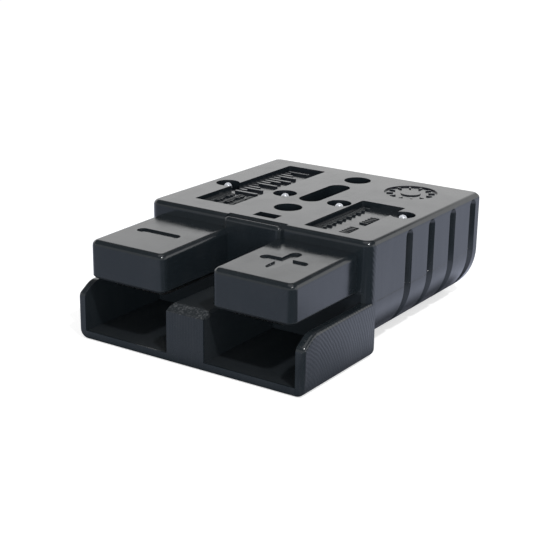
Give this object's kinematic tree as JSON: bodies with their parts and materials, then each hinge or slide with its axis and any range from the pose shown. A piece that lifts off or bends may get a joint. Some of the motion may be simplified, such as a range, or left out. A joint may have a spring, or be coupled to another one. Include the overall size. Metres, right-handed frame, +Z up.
{
  "type": "genderless power connector",
  "caption": "Genderless power connector with a hooded moulded housing, flat spring-backed contacts and rear crimp barrels; it mates with its own kind",
  "frame": {"origin": "bottom centre of the bounding box, on the flat underside of the housing", "axes": "X runs across the two poles, Y is the long axis from the mating face (minus Y) to the cable end (plus Y), Z is up and the shortest extent"},
  "size_m": [0.056, 0.074, 0.0249],
  "materials": {
    "housing_plastic": "dark grey moulded plastic with a fine satin surface",
    "contact_silver": "silver-plated copper, softly polished",
    "spring_steel": "stainless spring steel strip",
    "pin_steel": "bright steel with a domed end"
  },
  "bodies": {
    "root": {"housing": "housing_plastic", "contact_left": "contact_silver", "contact_right": "contact_silver", "spring_left": "spring_steel", "spring_right": "spring_steel", "pin_left_inner": "pin_steel", "pin_left_outer": "pin_steel", "pin_right_inner": "pin_steel", "pin_right_outer": "pin_steel"}
  },
  "joints": []
}
